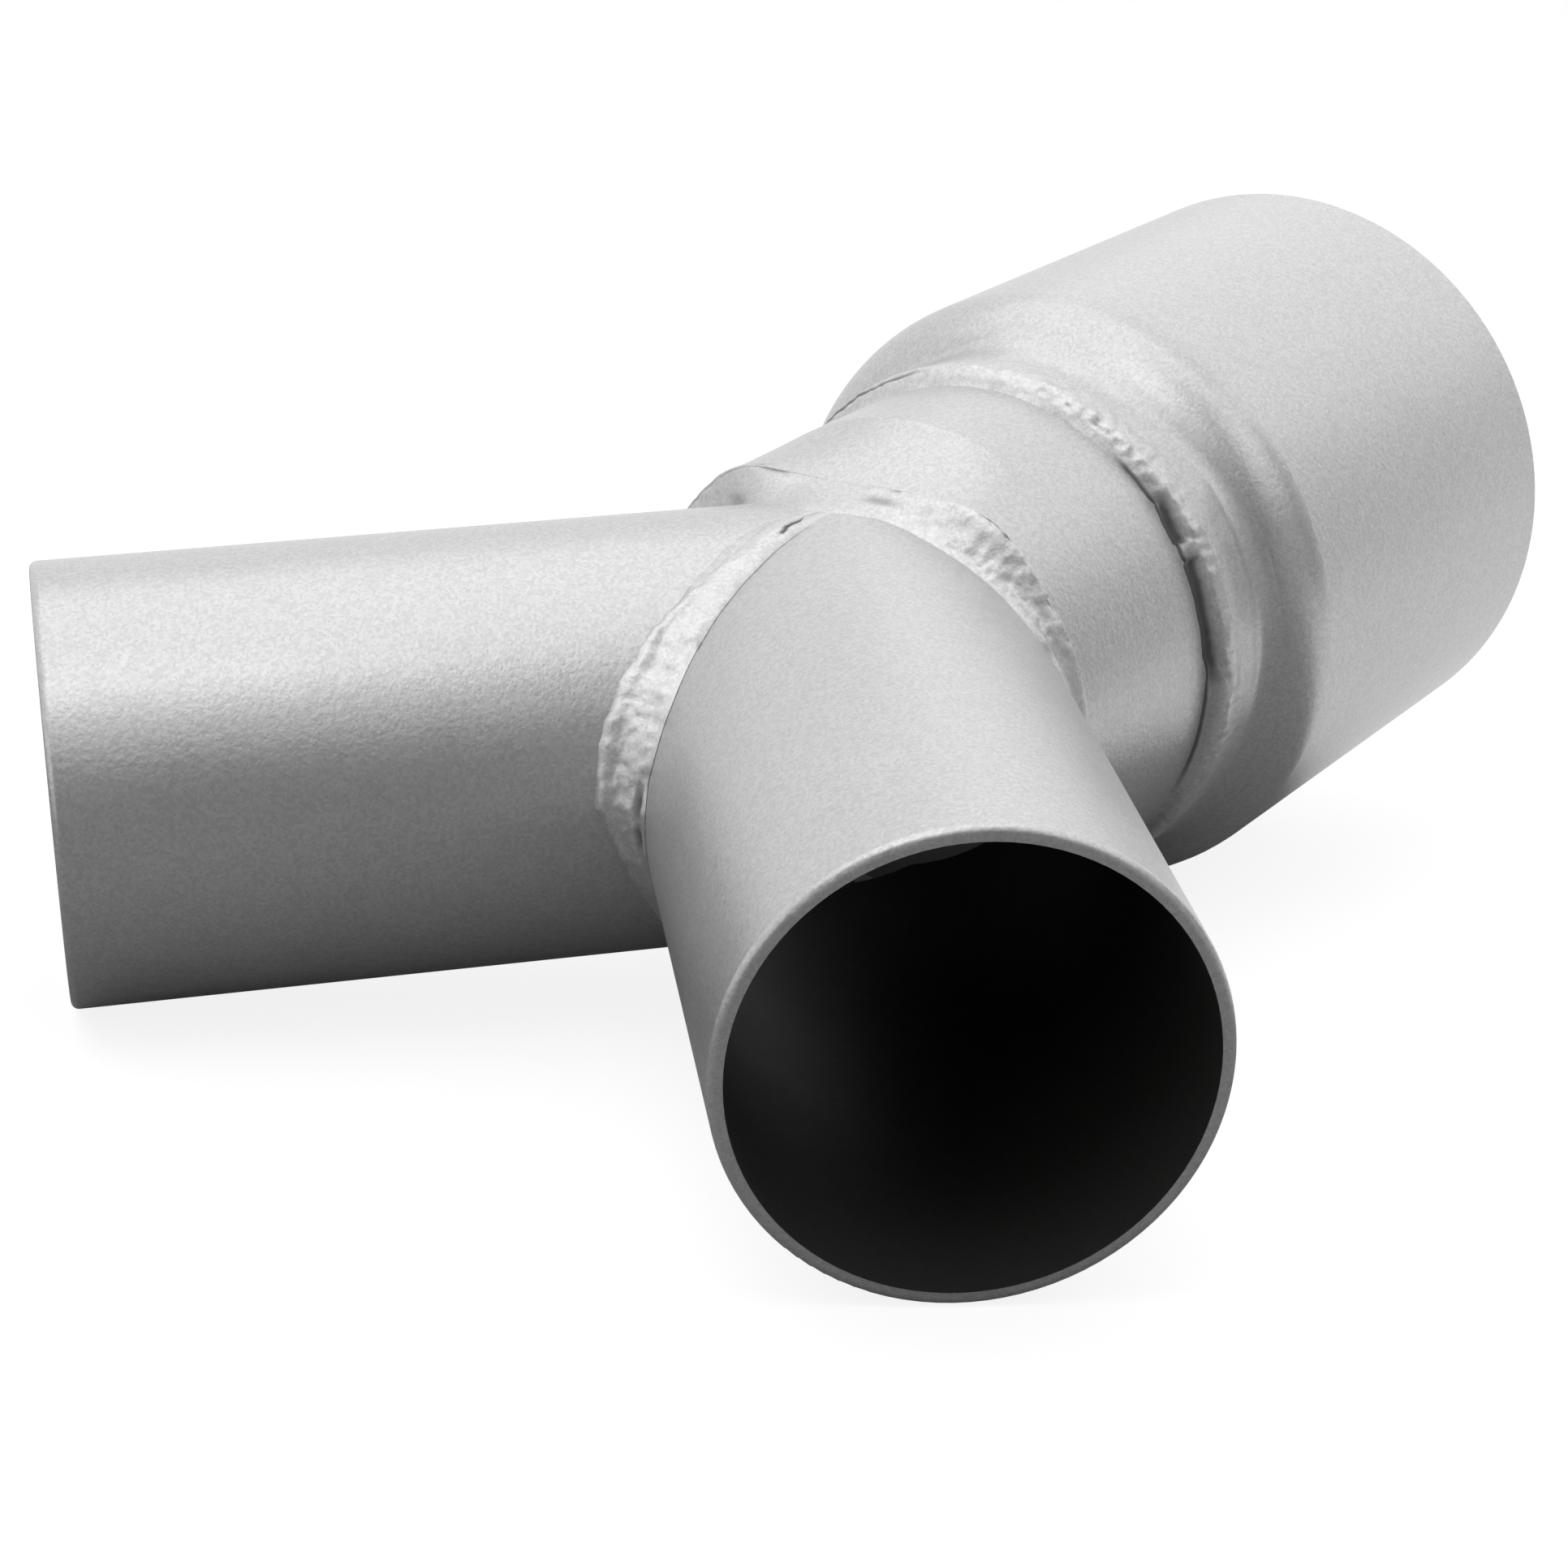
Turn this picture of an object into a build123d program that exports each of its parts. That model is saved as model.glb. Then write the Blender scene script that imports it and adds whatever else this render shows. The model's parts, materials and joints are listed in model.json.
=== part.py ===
"""Welded steel Y pipe connector: two branch tubes mitred together, a collector tube and a wider outlet.

The pipe is modelled about the crossing of its three axes, with the outlet along +X and the two
branches in the XY plane, and is then laid down on the floor the way it comes to rest.
"""

import os
from math import acos, asin, cos, degrees, radians, sin, sqrt, tan

from build123d import *

# Driving dimensions, in millimetres and degrees
wall = 1.5  # thickness of every tube and of the outlet's sheet
mouth_rounding = 0.9  # rounded outer edge of the three open mouths
seat_clearance = 0.15  # radial play where one tube goes into another before welding

branch_outside_diameter = 50.8
branch_reach = 91.0  # from the crossing of the axes to a branch's mouth
branch_half_angle = 42.5  # between a branch and the outlet axis
branch_tail = 3.2  # from the crossing of the axes to the square cut behind it
branch_insert = 4.0  # how far the branch pair goes on inside the collector

collector_outside_diameter = 63.0
collector_corner_radius = 12.0  # beside the pressed flats of the collector's mouth
collector_press_length = 12.0  # over which the pressed mouth becomes round
collector_insert = 7.0  # how far the collector goes into the outlet's neck

outlet_outside_diameter = 78.0
outlet_mouth = 114.0  # from the crossing of the axes to the outlet's mouth
outlet_barrel_start = 51.5  # where the shoulder ends and the straight barrel starts
outlet_shoulder_radius = 9.5  # round outside of the shoulder
outlet_neck_radius = 1.5  # hollow corner between the neck and the shoulder
outlet_neck_start = 34.7  # lip of the neck that holds the collector

crotch_bead_radius = 4.0
crotch_bead_lead = 0.6  # from the seam to the bead's middle, at the crotch
crotch_bead_crown = 0.4  # how far the bead stands out at the top and bottom of the seam
collector_bead_throat = 8.0  # how far the bead's face slopes in from the collector's lip
collector_bead_depth = 2.5  # how far it slopes forward over that
outlet_bead_toe = 1.5  # length of the bead on the collector, in front of the neck's lip
outlet_bead_cover = 4.3  # length of the bead on the neck, behind its lip
outlet_bead_height = 1.0  # of the bead's crest above the neck

# Sizes that follow from them
half_angle = radians(branch_half_angle)
branch_radius = branch_outside_diameter / 2
collector_radius = collector_outside_diameter / 2
outlet_radius = outlet_outside_diameter / 2
neck_outside_radius = collector_radius + seat_clearance + wall
collector_end = outlet_neck_start + collector_insert

# The collector's lip stands where the branch pair just fills the collector's bore
pair_half_width = collector_radius - wall - seat_clearance
collector_lip = (branch_radius / cos(half_angle) - pair_half_width) / tan(half_angle)
pair_half_height = sqrt(branch_radius**2 - (collector_lip * sin(half_angle)) ** 2)
collector_half_height = pair_half_height + seat_clearance + wall

# A length past every end of the part, for rods and half spaces that are cut back
beyond = 2 * (branch_reach + outlet_mouth)


def branch_axes(side):
    """Frame at the crossing of the axes, with Z out along a branch: side 1 is left, side -1 is right."""
    outward = (-cos(half_angle), side * sin(half_angle), 0)
    return Plane(origin=(0, 0, 0), x_dir=(0, 0, 1), z_dir=outward)


def branch_rod(side, radius, tail):
    """Solid rod along a branch's axis, from tail behind the crossing of the axes to the branch's mouth."""
    rod = Cylinder(radius, branch_reach + tail, align=(Align.CENTER, Align.CENTER, Align.MAX))
    return branch_axes(side) * Pos(0, 0, branch_reach) * rod


def round_mouth(tube, axis):
    """Round the outer edge of the mouth at a tube's far end along axis."""
    mouth = tube.faces().sort_by(axis)[-1]
    outer_edge = mouth.edges().sort_by(SortBy.LENGTH)[-1]
    return fillet(outer_edge, mouth_rounding)


def side_space(side, last_x):
    """Everything on one side of the middle plane, up to last_x along the outlet axis."""
    block = Box(beyond, beyond, beyond, align=(Align.MAX, Align.CENTER, Align.CENTER))
    return Pos(last_x, side * beyond / 2, 0) * block


def branch(side):
    """One branch tube, mitred on the middle plane and cut off square inside the collector."""
    bore = branch_rod(side, branch_radius - wall, branch_tail)
    tube = branch_rod(side, branch_radius, branch_tail) - bore
    rounded = round_mouth(tube, Axis((0, 0, 0), branch_axes(side).z_dir))
    return rounded & side_space(side, collector_lip + branch_insert)


def branch_pair_filled():
    """Outside form of the two branches, without their bores, carried on well behind the crossing."""
    left = branch_rod(1, branch_radius, branch_outside_diameter) & side_space(1, beyond / 2)
    right = branch_rod(-1, branch_radius, branch_outside_diameter) & side_space(-1, beyond / 2)
    return left + right


def across(x):
    """Section plane square to the outlet axis at x, with its own X along +Y."""
    return Plane(origin=(x, 0, 0), x_dir=(0, 1, 0), z_dir=(1, 0, 0))


def lip_outline(inset):
    """Collector's outline at its lip, smaller by inset: a circle with its top and bottom pressed flat."""
    radius = collector_radius - inset
    outline = Circle(radius) & Rectangle(2 * radius, 2 * (collector_half_height - inset))
    return fillet(outline.vertices(), collector_corner_radius - inset)


def collector_form(inset):
    """Solid form of the collector, smaller than its outside by inset."""
    round_section = across(collector_lip + collector_press_length) * Circle(collector_radius - inset)
    pressed = loft([across(collector_lip) * lip_outline(inset), round_section])
    straight = extrude(round_section, collector_end - collector_lip - collector_press_length)
    return pressed + straight


def collector():
    """Tube with its mouth pressed flat enough to sit on the branch pair."""
    return collector_form(0) - collector_form(wall)


def outlet():
    """Sheet metal outlet: a neck over the collector, a round shoulder and a straight barrel."""
    bends = outlet_shoulder_radius + outlet_neck_radius
    turn = acos(1 - (outlet_radius - neck_outside_radius) / bends)
    neck_end = outlet_barrel_start - bends * sin(turn)
    turn_x = outlet_barrel_start - outlet_shoulder_radius * sin(turn)
    turn_radius = neck_outside_radius + outlet_neck_radius * (1 - cos(turn))
    neck = Line((outlet_neck_start, neck_outside_radius), (neck_end, neck_outside_radius))
    hollow = TangentArc(neck @ 1, (turn_x, turn_radius), tangent=neck % 1)
    shoulder = TangentArc(hollow @ 1, (outlet_barrel_start, outlet_radius), tangent=hollow % 1)
    barrel = Line(shoulder @ 1, (outlet_mouth, outlet_radius))
    outside = Wire([neck, hollow, shoulder, barrel])
    sheet = make_face(offset(outside, wall, side=Side.RIGHT))
    return round_mouth(revolve(sheet, Axis.X), Axis.X)


def collector_weld():
    """Filler between the collector's lip and the branches, with a steep sloping face."""
    lip = across(collector_lip) * lip_outline(0)
    front = across(collector_lip - collector_bead_depth) * lip_outline(collector_bead_throat)
    return loft([front, lip]) - branch_pair_filled()


def crotch_weld():
    """Bead along the mitre seam, round the crotch from the collector's top to its bottom."""
    crotch = branch_radius / sin(half_angle) + crotch_bead_lead
    crown = branch_radius + crotch_bead_crown - crotch_bead_radius
    upper = Line((collector_lip, crown), (0, crown))
    bend = EllipticalCenterArc((0, 0), crotch, crown, start_angle=90, arc_size=180)
    lower = Line((0, -crown), (collector_lip, -crown))
    seam = Plane.XZ * Wire([upper, bend, lower])
    section = Plane(origin=seam @ 0, z_dir=seam % 0) * Circle(crotch_bead_radius)
    return sweep(section, path=seam) - branch_pair_filled() - collector_weld()


def outlet_weld():
    """Bead round the collector, over the lip of the outlet's neck."""
    crest_x = outlet_neck_start + outlet_bead_toe / 2
    toe = (outlet_neck_start - outlet_bead_toe, collector_radius)
    crest = (crest_x, neck_outside_radius + outlet_bead_height)
    heel = (outlet_neck_start + outlet_bead_cover, neck_outside_radius)
    face = ThreePointArc(toe, crest, heel)
    corner = (outlet_neck_start, neck_outside_radius)
    seat = Polyline(heel, corner, (outlet_neck_start, collector_radius), toe)
    return revolve(make_face([face, seat]), Axis.X)


def resting_tilt():
    """Angle that the outlet axis rises by when the pipe lies on its two branch mouths and its shoulder."""
    rim_radius = branch_radius - mouth_rounding
    rim_x = (branch_reach - mouth_rounding) * cos(half_angle)
    shoulder_height = outlet_radius - outlet_shoulder_radius
    tilt = 0.0
    for _ in range(30):
        rim_drop = rim_radius * sqrt(1 - (sin(tilt) * cos(half_angle)) ** 2) + mouth_rounding
        shoulder_drop = shoulder_height * cos(tilt) + outlet_shoulder_radius
        tilt = asin((shoulder_drop - rim_drop) / (outlet_barrel_start + rim_x))
    return degrees(tilt)


pieces = {
    "left_branch": branch(1),
    "right_branch": branch(-1),
    "collector_tube": collector(),
    "outlet_reducer": outlet(),
    "crotch_weld": crotch_weld(),
    "collector_weld": collector_weld(),
    "outlet_weld": outlet_weld(),
}

# Lie on the floor, with the origin under the middle of the pipe
tilted = {name: Rot(0, -resting_tilt(), 0) * piece for name, piece in pieces.items()}
box = Compound(list(tilted.values())).bounding_box()
floor_place = Pos(-box.center().X, -box.center().Y, -box.min.Z)

os.makedirs("parts", exist_ok=True)
for name, piece in tilted.items():
    export_step(floor_place * piece, f"parts/{name}.step")
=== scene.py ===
"""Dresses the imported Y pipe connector: silver paint, hand-laid weld beads and a white tent to light it."""

import json
from math import acos, asin, cos, degrees, pi, radians, sin, sqrt, tan

import bmesh
import bpy
from bpy.props import FloatProperty, FloatVectorProperty, PointerProperty
from mathutils import Matrix, Vector, noise


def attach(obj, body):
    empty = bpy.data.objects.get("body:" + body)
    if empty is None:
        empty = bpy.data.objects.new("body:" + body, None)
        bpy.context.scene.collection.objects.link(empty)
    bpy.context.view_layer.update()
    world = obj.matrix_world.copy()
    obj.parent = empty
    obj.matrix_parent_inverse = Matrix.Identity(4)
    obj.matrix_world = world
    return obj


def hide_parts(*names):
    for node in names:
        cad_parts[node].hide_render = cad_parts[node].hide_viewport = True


bl_info = {
    "name": "Y pipe connector",
    "version": (1, 0, 0),
    "blender": (4, 5, 0),
    "location": "3D View > Sidebar > Y pipe",
    "description": "Paints a welded Y pipe connector and lays its weld beads",
    "category": "Object",
}

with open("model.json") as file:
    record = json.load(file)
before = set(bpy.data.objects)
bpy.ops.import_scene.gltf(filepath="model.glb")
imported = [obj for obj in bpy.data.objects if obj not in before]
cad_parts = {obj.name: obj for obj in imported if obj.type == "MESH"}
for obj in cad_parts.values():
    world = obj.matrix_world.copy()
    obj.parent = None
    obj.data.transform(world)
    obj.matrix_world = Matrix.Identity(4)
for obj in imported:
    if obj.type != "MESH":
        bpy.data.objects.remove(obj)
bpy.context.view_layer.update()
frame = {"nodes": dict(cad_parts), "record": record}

BODY = "root"
TUBES = ("left_branch", "right_branch", "collector_tube", "outlet_reducer")

# The pipe's own frame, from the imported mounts: X along the outlet, Y to the left branch, in millimetres
MM = 0.001
MOUNTS = {mount["name"]: mount for mount in frame["record"]["mounts"]}
LEFT_MOUTH = Vector(MOUNTS["left_inlet"]["pos_m"])
LEFT_AXIS = Vector(MOUNTS["left_inlet"]["axis"])
RIGHT_AXIS = Vector(MOUNTS["right_inlet"]["axis"])
OUTLET_AXIS = Vector(MOUNTS["outlet"]["axis"])
CROSSING = LEFT_MOUTH - LEFT_AXIS * (LEFT_MOUTH.y / LEFT_AXIS.y)
SIDE_AXIS = Vector((0, 1, 0))
UP_AXIS = OUTLET_AXIS.cross(SIDE_AXIS)
PIPE = Matrix.Translation(CROSSING) @ Matrix((OUTLET_AXIS, SIDE_AXIS, UP_AXIS)).transposed().to_4x4()
PIPE_MM = PIPE @ Matrix.Scale(MM, 4)

# Sizes that the beads sit on, in millimetres, as the solids have them
WALL = 1.5
HALF_ANGLE = acos(-LEFT_AXIS.dot(OUTLET_AXIS))
BRANCH_RADIUS = MOUNTS["left_inlet"]["dims"]["r_mm"] + WALL
COLLECTOR_RADIUS = 31.5
LIP_X = 5.06  # the collector's mouth, which is pressed flat at top and bottom
LIP_HALF_HEIGHT = 26.8
LIP_CORNER = 12.0
PRESS_LENGTH = 12.0  # from the mouth to where the collector is round
NECK_X = 34.7  # the lip of the outlet's neck
NECK_RADIUS = 33.15
SHOULDER_X = 51.5  # the top of the outlet's shoulder, where its barrel starts
SHOULDER_RADIUS = 9.5
SHOULDER_CENTRE = 29.5  # from the outlet axis to the middle of the shoulder's rounding


def setting(kind, name, description, default, **more):
    """A property that the panel shows."""
    return kind(name=name, description=description, default=default, **more)


def colour_setting(name, description, default):
    """A colour."""
    return setting(FloatVectorProperty, name, description, default, size=3, subtype="COLOR", min=0.0, max=1.0)


def share_setting(name, description, default):
    """A share or a grey, from 0 to 1."""
    return setting(FloatProperty, name, description, default, subtype="FACTOR", min=0.0, max=1.0)


def length_setting(name, description, millimetres):
    """A length, given in millimetres and kept in metres."""
    return setting(FloatProperty, name, description, millimetres * MM, subtype="DISTANCE", unit="LENGTH",
                   precision=5, min=0.01 * MM)


def power_setting(name, description, default):
    """The power of a lamp."""
    return setting(FloatProperty, name, description, default, unit="POWER", min=0.0)


class PaintSettings(bpy.types.PropertyGroup):
    """Colours and grain of the silver paint and of the tubes' insides, which are bare steel darkened to near
    black with painted shade.
    """

    paint: colour_setting("Paint", "Colour of the silver paint", (0.65, 0.65, 0.65))
    # Colour inside the tubes: bare steel darkened to near black, partly painted shade
    bore: colour_setting("Bore", "Colour of the unpainted bore", (0.03, 0.029, 0.028))
    # Colour of the weld's hollows: sooty where paint didn't reach, and painted shade in cracks, creases,
    # grooves and pits
    soot: colour_setting("Soot", "Colour of the hollows that paint didn't reach", (0.11, 0.11, 0.11))
    metal: share_setting("Metal", "Share of aluminium flake in the paint", 0.5)
    gloss: share_setting("Roughness", "Roughness of the painted surface", 0.35)
    grain: length_setting("Flake", "Size of a flake in the paint", 0.32)


class BeadSettings(bpy.types.PropertyGroup):
    """Sizes that the three hand-laid beads share."""

    step: length_setting("Step", "Length of a bead between two rows of points", 0.32)
    ripple: length_setting("Ripple", "Height of the ripples in a bead", 0.045)
    pitch: length_setting("Pitch", "Distance from one ripple to the next", 1.9)
    sink: length_setting("Sink", "How far a bead's underside lies in the tubes", 0.3)


class StageSettings(bpy.types.PropertyGroup):
    """Camera, light and floor."""

    camera_place: setting(FloatVectorProperty, "Camera", "Where the camera stands",
                          (-0.343709, -0.211431, 0.149377), size=3, subtype="TRANSLATION", unit="LENGTH")
    camera_turn: setting(FloatVectorProperty, "Turn", "How the camera is turned",
                         (radians(72.0815), radians(-3.27748), radians(-55.23206)), size=3, subtype="EULER")
    lens: setting(FloatProperty, "Lens", "Focal length for a 36 mm sensor", 78.8894, unit="CAMERA", min=1.0)
    ceiling: power_setting("Ceiling", "Power of the soft ceiling light", 1.6)
    key: power_setting("Key", "Power of the smaller light over the camera", 0.18)
    rim: power_setting("Rim", "Power of the light high on the right", 0.22)
    side: power_setting("Side", "Power of the soft light behind the outlet", 0.55)
    dark_grey: share_setting("Dark screen", "Grey of the screen beside the camera", 0.03)
    soft_grey: share_setting("Soft screens", "Grey of the screens at either end", 0.35)
    pale_grey: share_setting("Pale screen", "Grey of the screen on the right", 0.8)
    table_grey: share_setting("Table", "Grey that the object sees under it", 0.36)
    ambient: share_setting("Ambient", "Light from the tent's walls", 0.42)
    floor_grey: share_setting("Floor", "How much light the floor gives back", 0.32)
    floor_white: share_setting("Floor white", "What lifts the floor to white in the picture", 0.86)


# Shader nodes

def put(tree, kind, inputs=None, **options):
    """Add a node, set its options, and set or link its inputs."""
    node = tree.nodes.new(kind)
    for option, value in options.items():
        setattr(node, option, value)
    for socket, value in (inputs or {}).items():
        if isinstance(value, bpy.types.NodeSocket):
            tree.links.new(value, node.inputs[socket])
        else:
            node.inputs[socket].default_value = value
    return node


def calc(tree, operation, first, second=0.0, third=0.0):
    """Output of a Math node."""
    return put(tree, "ShaderNodeMath", {0: first, 1: second, 2: third}, operation=operation).outputs[0]


def swing(tree, value, amount, middle=0.0):
    """A value from 0 to 1 as a change of up to half of amount to either side of middle."""
    return calc(tree, "MULTIPLY_ADD", calc(tree, "SUBTRACT", value, 0.5), amount, middle)


def vector(tree, operation, first, second=(0, 0, 0), out=0):
    """Output of a Vector Math node."""
    return put(tree, "ShaderNodeVectorMath", {0: first, 1: second}, operation=operation).outputs[out]


def ramp(tree, value, start, end, low=0.0, high=1.0):
    """A value carried smoothly from start..end to low..high."""
    inputs = {"Value": value, "From Min": start, "From Max": end, "To Min": low, "To Max": high}
    return put(tree, "ShaderNodeMapRange", inputs, interpolation_type="SMOOTHSTEP").outputs[0]


def blend(tree, factor, first, second):
    """Mix of two colours."""
    inputs = {0: factor, 6: first, 7: second}
    return put(tree, "ShaderNodeMix", inputs, data_type="RGBA").outputs[2]


def speckle(tree, place, scale, detail, rough):
    """Noise from 0 to 1, with scale cells to a metre."""
    inputs = {"Vector": place, "Scale": scale, "Detail": detail, "Roughness": rough}
    return put(tree, "ShaderNodeTexNoise", inputs).outputs[0]


def new_group(name, inputs, outputs):
    """An empty shader node group with its sockets, and its two end nodes."""
    group = bpy.data.node_groups.new(name, "ShaderNodeTree")
    for in_out, sockets in (("INPUT", inputs), ("OUTPUT", outputs)):
        for socket, kind in sockets.items():
            group.interface.new_socket(socket, in_out=in_out, socket_type=kind)
    return group, put(group, "NodeGroupInput").outputs, put(group, "NodeGroupOutput").inputs


# Grain of the paint: noise cells to a metre, and how much the tone and the roughness change with them
FINE_GRAIN = 1500.0
CRUST_GRAIN = 900.0
PATCH_GRAIN = 240.0
CLOUD_GRAIN = 55.0
FLAKE_TONE = 0.2
PATCH_TONE = 0.03
TUBE_MOTTLE = 0.05
BEAD_MOTTLE = 0.07
FINE_ROUGHNESS = 0.1
CLOUD_ROUGHNESS = 0.12

# Depth of the paint's relief, in metres, and how much stronger the crust of a weld is
TUBE_RELIEF = 4.5e-5
BEAD_RELIEF = 1.6e-5
PATCH_RELIEF = 0.6
CRUST_RELIEF = 5.0

# What the bare insides of tubes, the hollows and the crust of a weld are like; the crust's colour is made
# paler as a painted highlight
BORE_FACING = (-0.15, -0.35)  # how a surface faces the axis where the bore starts and is full
BORE_METAL = 0.15
BORE_ROUGHNESS = 0.62
HOLLOW_METAL = 0.2
HOLLOW_ROUGHER = 0.2
CRUST_ROUGHER = 0.07
CRUST_HIGHLIGHT = 0.13


def flake_group():
    """Grain of the silver paint: tone of its flakes, roughness and fine relief."""
    inputs = {"Flake": "NodeSocketFloat", "Mottle": "NodeSocketFloat"}
    outputs = {"Tone": "NodeSocketFloat", "Roughness": "NodeSocketFloat", "Height": "NodeSocketFloat"}
    group, given, result = new_group("silver_flakes", inputs, outputs)
    place = put(group, "ShaderNodeTexCoord").outputs["Object"]
    scale = calc(group, "DIVIDE", 1.0, given["Flake"])
    cells = put(group, "ShaderNodeTexVoronoi", {"Vector": place, "Scale": scale}).outputs["Color"]
    glint = put(group, "ShaderNodeSeparateColor", {0: cells}).outputs[0]
    fine = speckle(group, place, FINE_GRAIN, 2.0, 0.6)
    cloud = speckle(group, place, CLOUD_GRAIN, 3.0, 0.55)
    patch = speckle(group, place, PATCH_GRAIN, 2.0, 0.5)
    mottle = swing(group, patch, PATCH_TONE, swing(group, cloud, given["Mottle"]))
    tone = calc(group, "ADD", swing(group, glint, FLAKE_TONE, 1.0), mottle)
    rough = swing(group, fine, FINE_ROUGHNESS, swing(group, cloud, CLOUD_ROUGHNESS))
    height = calc(group, "MULTIPLY_ADD", patch, PATCH_RELIEF, fine)
    for socket, value in (("Tone", tone), ("Roughness", rough), ("Height", height)):
        group.links.new(value, result[socket])
    return group


def bore_group():
    """Mask of a tube's inner wall: where the surface faces the tube's own axis."""
    inputs = {"Axis point": "NodeSocketVector", "Axis": "NodeSocketVector"}
    group, given, result = new_group("inside_of_tube", inputs, {"Inside": "NodeSocketFloat"})
    place = put(group, "ShaderNodeTexCoord").outputs["Object"]
    arm = vector(group, "SUBTRACT", place, given["Axis point"])
    along = vector(group, "DOT_PRODUCT", arm, given["Axis"], out=1)
    stretched = {0: given["Axis"], "Scale": along}
    foot = put(group, "ShaderNodeVectorMath", stretched, operation="SCALE").outputs[0]
    radial = vector(group, "NORMALIZE", vector(group, "SUBTRACT", arm, foot))
    facing = put(group, "ShaderNodeNewGeometry").outputs["True Normal"]
    turned = vector(group, "DOT_PRODUCT", radial, facing, out=1)
    group.links.new(ramp(group, turned, *BORE_FACING), result["Inside"])
    return group


def group_node(tree, name, make, inputs):
    """A node of a shared group, which is made the first time."""
    group = bpy.data.node_groups.get(name) or make()
    return put(tree, "ShaderNodeGroup", inputs, node_tree=group)


def new_material(name):
    """An empty node material with its Principled shader."""
    material = bpy.data.materials.new(name)
    material.use_nodes = True
    tree = material.node_tree
    tree.nodes.clear()
    shader = put(tree, "ShaderNodeBsdfPrincipled")
    put(tree, "ShaderNodeOutputMaterial", {"Surface": shader.outputs[0]})
    return material, tree, shader


def grey_tone(tree, colour, tone):
    """A colour times a tone that changes over the surface."""
    inputs = {0: 1.0, 6: (*colour, 1.0), 7: tone}
    return put(tree, "ShaderNodeMix", inputs, data_type="RGBA", blend_type="MULTIPLY").outputs[2]


def paint_relief(tree, height, depth):
    """Normal of a surface with a relief of so much depth."""
    return put(tree, "ShaderNodeBump", {"Height": height, "Distance": depth, "Strength": 1.0}).outputs[0]


def tube_paint(name, settings, axis):
    """Silver paint outside and bare steel inside, darkened to near black with painted shade, for a tube along
    axis.
    """
    material, tree, shader = new_material(name)
    grain = {"Flake": settings.grain, "Mottle": TUBE_MOTTLE}
    flakes = group_node(tree, "silver_flakes", flake_group, grain).outputs
    inside = group_node(tree, "inside_of_tube", bore_group, {"Axis point": CROSSING, "Axis": axis}).outputs[0]
    paint = grey_tone(tree, settings.paint, flakes["Tone"])
    # Inside colour: bare steel darkened to near black, partly painted shade of the tube's inside
    bare = grey_tone(tree, settings.bore, flakes["Tone"])
    metal = ramp(tree, inside, 0.0, 1.0, settings.metal, BORE_METAL)
    gloss = ramp(tree, inside, 0.0, 1.0, settings.gloss, BORE_ROUGHNESS)
    tree.links.new(blend(tree, inside, paint, bare), shader.inputs["Base Color"])
    tree.links.new(metal, shader.inputs["Metallic"])
    tree.links.new(calc(tree, "ADD", flakes["Roughness"], gloss), shader.inputs["Roughness"])
    tree.links.new(paint_relief(tree, flakes["Height"], TUBE_RELIEF), shader.inputs["Normal"])
    return material


def bead_paint(name, settings):
    """Silver paint over a weld, coarser than on the tubes and painted paler on its crust as a painted
    highlight, with dark hollows that it didn't reach, in sooty colour and painted shade.
    """
    material, tree, shader = new_material(name)
    grain = {"Flake": settings.grain, "Mottle": BEAD_MOTTLE}
    flakes = group_node(tree, "silver_flakes", flake_group, grain).outputs
    hollow = put(tree, "ShaderNodeAttribute", attribute_name="hollow").outputs["Fac"]
    coarse = put(tree, "ShaderNodeAttribute", attribute_name="coarse").outputs["Fac"]
    place = put(tree, "ShaderNodeTexCoord").outputs["Object"]
    strength = calc(tree, "MULTIPLY", coarse, CRUST_RELIEF)
    crust = calc(tree, "MULTIPLY", speckle(tree, place, CRUST_GRAIN, 3.0, 0.6), strength)
    # Painted highlight: the weld's crust is painted paler than the paint around it
    crust_highlight = calc(tree, "MULTIPLY_ADD", coarse, CRUST_HIGHLIGHT, 1.0)
    paint = grey_tone(tree, settings.paint, calc(tree, "MULTIPLY", flakes["Tone"], crust_highlight))
    metal = ramp(tree, hollow, 0.0, 1.0, settings.metal, HOLLOW_METAL)
    gloss = calc(tree, "MULTIPLY_ADD", coarse, CRUST_ROUGHER, settings.gloss)
    rough = calc(tree, "MULTIPLY_ADD", hollow, HOLLOW_ROUGHER, calc(tree, "ADD", flakes["Roughness"], gloss))
    height = calc(tree, "ADD", crust, flakes["Height"])
    # Hollows take the dark colour: sooty where paint didn't reach, painted shade in cracks, creases, grooves
    # and pits
    tree.links.new(blend(tree, hollow, paint, (*settings.soot, 1.0)), shader.inputs["Base Color"])
    tree.links.new(metal, shader.inputs["Metallic"])
    tree.links.new(rough, shader.inputs["Roughness"])
    tree.links.new(paint_relief(tree, height, BEAD_RELIEF), shader.inputs["Normal"])
    return material


# Beads

FACE_SHARE = 0.74  # of a bead's rows of points that lie on its face, the rest lying under it
JOIN_DISTANCE = 0.002  # millimetres between points that are made one
SHARP_ANGLE = 60  # degrees between faces from which an edge stays sharp
LAST_SHARE = 0.999999  # just before the end of a line


def hump(value, middle, half_width):
    """1 at middle, smoothly down to 0 at half_width on either side."""
    gap = min(abs(value - middle) / half_width, 1.0)
    return (1 - gap * gap) ** 2


def humps(value, rows):
    """Several humps together, from rows of height, middle and half width."""
    return sum(height * hump(value, middle, half_width) for height, middle, half_width in rows)


def rise(value, start, end):
    """0 before start, 1 after end, smooth between."""
    share = min(max((value - start) / (end - start), 0.0), 1.0)
    return share * share * (3 - 2 * share)


def stretch(value, start, full, fade, end):
    """0 before start, 1 from full to fade, 0 after end, smooth between."""
    return rise(value, start, full) * (1 - rise(value, fade, end))


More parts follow.
